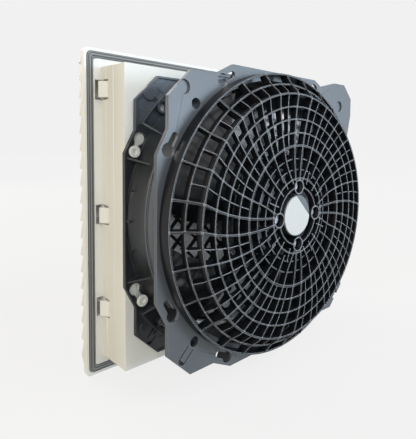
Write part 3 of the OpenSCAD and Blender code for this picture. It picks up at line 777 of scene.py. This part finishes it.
def blade_mesh():
    """One blade as a grid from hub to tip and from front edge to rear edge, thickened."""
    blade = bmesh.new()
    bmesh.ops.create_grid(blade, x_segments=20, y_segments=14, size=0.5)
    for v in blade.verts:
        s = v.co.x + 0.5
        t = v.co.y + 0.5
        root = HUB_FRONT_R + (HUB_REAR_R - HUB_FRONT_R) * s - 2
        r = root + t * (TIP_R - root)
        turn = math.radians(BLADE_START + BLADE_SWEEP * t + BLADE_WRAP * s)
        front = 55 - 2 * t
        rear = 102 - 6 * t
        z = front + (rear - front) * s + BLADE_CAMBER * math.sin(math.pi * s)
        v.co = (r * math.cos(turn), r * math.sin(turn), z)
    bmesh.ops.solidify(blade, geom=blade.faces[:], thickness=BLADE_T)
    bmesh.ops.recalc_face_normals(blade, faces=blade.faces)
    return blade


def impeller_mesh():
    impeller = bmesh.new()
    for k in range(BLADES):
        blade = blade_mesh()
        bmesh.ops.rotate(
            blade, verts=blade.verts, cent=(0, 0, 0),
            matrix=Matrix.Rotation(2 * math.pi * k / BLADES, 3, "Z"))
        add_to(impeller, blade)
    section = (
        (0, 52), (30, 52), (41, 52.8), (47.5, 55), (51.5, 59.5), (57.5, 78), (66, 104),
        (62, 104), (49, 82), (46, 81), (46, 61), (0, 61))
    hub = turned([(x, 0, z) for x, z in section], (0, 0, 1), 96)
    add_to(impeller, hub)
    return impeller


impeller_black = moulded_plastic(
    "impeller polyamide", (0.012, 0.0125, 0.014), (0.008, 0.0085, 0.0095), (0.06, 0.062, 0.065),
    roughness=0.2, gloss=0.85, grain=0.02, radius=0.0005)
place(to_object_frame(impeller_mesh(), "fan_impeller"), "fan_impeller", "rotor", "black_plastic",
      impeller_black, "impeller")
can_paint = moulded_plastic(
    "can paint", (0.03, 0.03, 0.032), (0.02, 0.02, 0.022), (0.2, 0.2, 0.21), roughness=0.4)
dress(can_paint, "rotor_can")
ferrite = moulded_plastic(
    "bonded ferrite", (0.06, 0.06, 0.062), (0.04, 0.04, 0.042), (0.1, 0.1, 0.1),
    roughness=0.7, grain=0.3)
dress(ferrite, "magnet_ring")
dress(steel, "shaft", "circlip")


# Studio
# A pale floor and backdrop, and a camera at the photograph's place. A large cool window
# lights the cabinet side, a strip above it puts bright patches on the blades, a warm light
# reaches the collar and a room light the cover.

LENS_PX = 406.305
IMAGE_W = 416
IMAGE_H = 439
CENTRE_PX = (239.1, 167.65)
CAMERA_AT = Vector((0.32604, 0.37970, 0.07291))
YAW = 0.771674
PITCH = 0.0620792
ROLL = 0.0133876
SENSOR = 36.0

camera_data = bpy.data.cameras.new("camera")
camera_data.sensor_width = SENSOR
camera_data.lens = LENS_PX / IMAGE_H * SENSOR
camera_data.shift_x = (IMAGE_W / 2 - CENTRE_PX[0]) / IMAGE_H
camera_data.shift_y = -(IMAGE_H / 2 - CENTRE_PX[1]) / IMAGE_H
camera_data.clip_start = 0.01
camera = bpy.data.objects.new("camera", camera_data)
bpy.context.scene.collection.objects.link(camera)
back = Vector((math.sin(YAW) * math.cos(PITCH), math.cos(YAW) * math.cos(PITCH), math.sin(PITCH)))
level_x = Vector((0, 0, 1)).cross(back).normalized()
level_y = back.cross(level_x)
right = math.cos(ROLL) * level_x + math.sin(ROLL) * level_y
up = math.cos(ROLL) * level_y - math.sin(ROLL) * level_x
camera.matrix_world = Matrix((
    (right.x, up.x, back.x, CAMERA_AT.x), (right.y, up.y, back.y, CAMERA_AT.y),
    (right.z, up.z, back.z, CAMERA_AT.z), (0, 0, 0, 1)))
bpy.context.scene.camera = camera


def softbox(name, at, target, size, power, colour):
    data = bpy.data.lights.new(name, "AREA")
    data.shape = "RECTANGLE"
    data.size, data.size_y = size
    data.energy = power
    data.color = colour
    lamp = bpy.data.objects.new(name, data)
    bpy.context.scene.collection.objects.link(lamp)
    lamp.location = at
    lamp.rotation_euler = (Vector(target) - Vector(at)).to_track_quat("-Z", "Y").to_euler()
    return lamp


softbox("window", (-1.05, 1.55, 0.1), (0, 0.1, 0.0), (1.1, 1.0), 32.0, (0.65, 0.83, 1.0))
softbox("strip", (-0.5, 1.35, 1.3), (0, 0.08, 0.1), (1.5, 0.25), 16.0, (0.82, 0.91, 1.0))
softbox("overhead", (0.1, 0.5, 1.7), (0, 0.05, 0), (1.6, 1.6), 6.0, (0.93, 0.97, 1.0))
softbox("collar side", (1.6, 0.2, 0.1), (0.1, 0, 0), (1.0, 1.4), 7.8, (1.0, 0.82, 0.42))
softbox("camera side", (1.0, 1.25, 0.75), (0, 0.08, 0), (0.7, 0.7), 11.5, (0.85, 0.93, 1.0))
softbox("room side", (0.4, -1.6, 0.9), (0, 0, 0), (1.4, 1.2), 20.0, (1.0, 0.98, 0.95))


def seen_or_mirrored(tree):
    """1 where the camera, a reflection or a look through glass meets the surface."""
    path = add_node(tree, "ShaderNodeLightPath")
    mirrored = math_of(
        tree, "MAXIMUM", path.outputs["Is Glossy Ray"], path.outputs["Is Transmission Ray"])
    return math_of(tree, "MAXIMUM", path.outputs["Is Camera Ray"], mirrored)


floor_mesh = bpy.data.meshes.new("floor")
floor_form = bmesh.new()
bmesh.ops.create_grid(floor_form, x_segments=1, y_segments=1, size=6.0)
bmesh.ops.translate(floor_form, verts=floor_form.verts, vec=(0, 0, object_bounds()[0][2] - 0.0005))
floor_form.to_mesh(floor_mesh)
floor_form.free()
floor = bpy.data.objects.new("floor", floor_mesh)
bpy.context.scene.collection.objects.link(floor)
floor_material, floor_tree, floor_shader = new_material("pale floor")
floor_shader.inputs["Base Color"].default_value = (0.60, 0.56, 0.50, 1)
floor_shader.inputs["Roughness"].default_value = 0.9
floor_shader.inputs["Specular IOR Level"].default_value = 0.0
glow = add_node(floor_tree, "ShaderNodeEmission")
glow.inputs["Color"].default_value = (0.94, 0.94, 0.94, 1)
blend_in = add_node(floor_tree, "ShaderNodeMixShader")
span = add_node(floor_tree, "ShaderNodeVectorMath", operation="LENGTH")
floor_tree.links.new(object_coordinates(floor_tree), span.inputs[0])
faded = map_range(floor_tree, span.outputs["Value"], 0.86, 0.93, 0.5, 1.6)
shown = math_of(floor_tree, "MULTIPLY", seen_or_mirrored(floor_tree), faded)
floor_tree.links.new(shown, blend_in.inputs["Fac"])
floor_tree.links.new(floor_shader.outputs["BSDF"], blend_in.inputs[1])
floor_tree.links.new(glow.outputs["Emission"], blend_in.inputs[2])
floor_end = floor_tree.nodes["Material Output"]
floor_tree.links.new(blend_in.outputs["Shader"], floor_end.inputs["Surface"])
floor_mesh.materials.append(floor_material)

world = bpy.data.worlds.new("studio")
bpy.context.scene.world = world
world.use_nodes = True
sky_tree = world.node_tree
ambient = sky_tree.nodes["Background"]
ambient.inputs["Color"].default_value = (0.55, 0.57, 0.6, 1)
ambient.inputs["Strength"].default_value = 0.5
backdrop = add_node(sky_tree, "ShaderNodeBackground")
backdrop.inputs["Color"].default_value = (0.88, 0.88, 0.88, 1)
sky_mix = add_node(sky_tree, "ShaderNodeMixShader")
sky_tree.links.new(seen_or_mirrored(sky_tree), sky_mix.inputs["Fac"])
sky_tree.links.new(ambient.outputs["Background"], sky_mix.inputs[1])
sky_tree.links.new(backdrop.outputs["Background"], sky_mix.inputs[2])
sky_tree.links.new(sky_mix.outputs["Shader"], sky_tree.nodes["World Output"].inputs["Surface"])
bpy.context.scene.view_settings.view_transform = "Standard"
